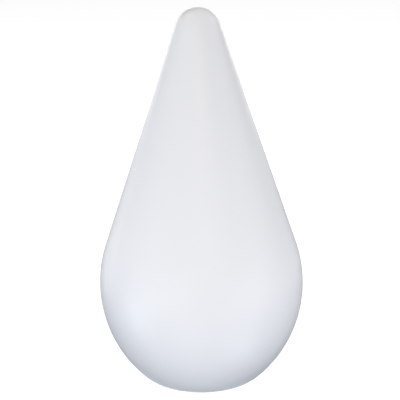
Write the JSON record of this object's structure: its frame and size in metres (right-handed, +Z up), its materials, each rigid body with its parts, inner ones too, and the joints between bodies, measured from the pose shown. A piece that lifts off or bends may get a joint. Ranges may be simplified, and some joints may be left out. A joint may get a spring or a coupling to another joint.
{
  "type": "cool mist humidifier",
  "caption": "Drop-shaped tabletop ultrasonic cool mist humidifier: lift-off water tank over a recessed base with rear controls, and a turning mist nozzle behind the tip.",
  "frame": {"origin": "on the table, under the centre of the drop", "axes": "+Z up, -Y the plain front, +Y the rear with the controls, the power socket and the nozzle"},
  "size_m": [0.2, 0.2, 0.3712],
  "materials": {
    "tank_white": "satin",
    "liner_white": "satin",
    "base_white": "satin",
    "dial_white": "satin",
    "natural_plastic": "satin",
    "nozzle_grey": "satin",
    "cap_plastic": "satin",
    "float_foam": "matte",
    "magnet": "matte",
    "screw_steel": "satin",
    "spring_steel": "satin",
    "rubber_grey": "matte",
    "silicone": "matte",
    "transducer_metal": "satin",
    "black_plastic": "matte",
    "circuit_board": "satin",
    "aluminium": "satin",
    "copper": "satin",
    "capacitor_sleeve": "gloss",
    "contact_metal": "polished",
    "led_clear": "gloss",
    "lead_sleeve": "matte"
  },
  "bodies": {
    "base": {"base_housing": "base_white", "base_cover": "base_white", "cover_screws": "screw_steel", "rubber_feet": "rubber_grey", "fan_frame": "black_plastic", "air_duct": "natural_plastic", "transducer_disc": "transducer_metal", "transducer_seal": "silicone", "transducer_clamp": "screw_steel", "clamp_screws": "screw_steel", "mist_guide": "natural_plastic", "float_clip": "cap_plastic", "reed_switch": "circuit_board", "driver_board": "circuit_board", "power_transistor": "black_plastic", "heat_sink": "aluminium", "inductor": "copper", "capacitors": "capacitor_sleeve", "power_jack": "black_plastic", "jack_pin": "contact_metal", "control_board": "circuit_board", "board_screws": "screw_steel", "potentiometer": "black_plastic", "tact_switch": "black_plastic", "power_led": "led_clear", "led_lens": "led_clear", "power_lead": "lead_sleeve", "fan_lead": "lead_sleeve", "transducer_lead": "lead_sleeve", "control_lead": "lead_sleeve"},
    "tank": {"tank_shell": "tank_white", "tank_floor": "liner_white", "mist_chimney": "natural_plastic", "chimney_seal": "silicone", "mist_elbow": "natural_plastic", "nozzle_seat": "liner_white"},
    "nozzle": {"mist_nozzle": "nozzle_grey", "nozzle_seal": "silicone"},
    "cap": {"tank_cap": "cap_plastic", "cap_gasket": "silicone"},
    "valve": {"valve_stem": "cap_plastic", "valve_seal": "silicone", "valve_spring": "spring_steel"},
    "float": {"float_ring": "float_foam", "float_magnet": "magnet"},
    "fan": {"fan_impeller": "black_plastic"},
    "dial": {"mist_dial": "dial_white", "dial_shaft": "contact_metal"},
    "button": {"power_button": "dial_white"}
  },
  "joints": [
    {"name": "tank_lift", "type": "slide", "parent": "base", "child": "tank", "axis": [0, 0, 1], "range_m": [0, 0.12]},
    {"name": "nozzle_turn", "type": "hinge", "parent": "tank", "child": "nozzle", "pos_m": [0, 0, 0.3489], "axis": [0, 0.7431, 0.6691], "continuous": true},
    {"name": "cap_turn", "type": "hinge", "parent": "tank", "child": "cap", "pos_m": [0, 0.058, 0.0905], "axis": [0, 0, 1], "range_deg": [0, 60]},
    {"name": "valve_travel", "type": "slide", "parent": "cap", "child": "valve", "axis": [0, 0, 1], "range_m": [-0.004, 0], "deforming": ["valve_spring"]},
    {"name": "float_rise", "type": "slide", "parent": "base", "child": "float", "axis": [0, 0, 1], "range_m": [0, 0.006]},
    {"name": "fan_spin", "type": "hinge", "parent": "base", "child": "fan", "pos_m": [0, 0.026, 0.013], "axis": [0, 0, 1], "continuous": true},
    {"name": "dial_turn", "type": "hinge", "parent": "base", "child": "dial", "pos_m": [0, 0.08938, 0.05055], "axis": [0, -0.9135, 0.4067], "range_deg": [0, 270]},
    {"name": "button_press", "type": "slide", "parent": "base", "child": "button", "axis": [0, -0.9135, 0.4067], "range_m": [0, 0.0012], "stiffness_N_per_m": 400}
  ],
  "couplings": [
    {"joint": "valve_travel", "follows": "tank_lift", "ratio": -0.0333}
  ]
}
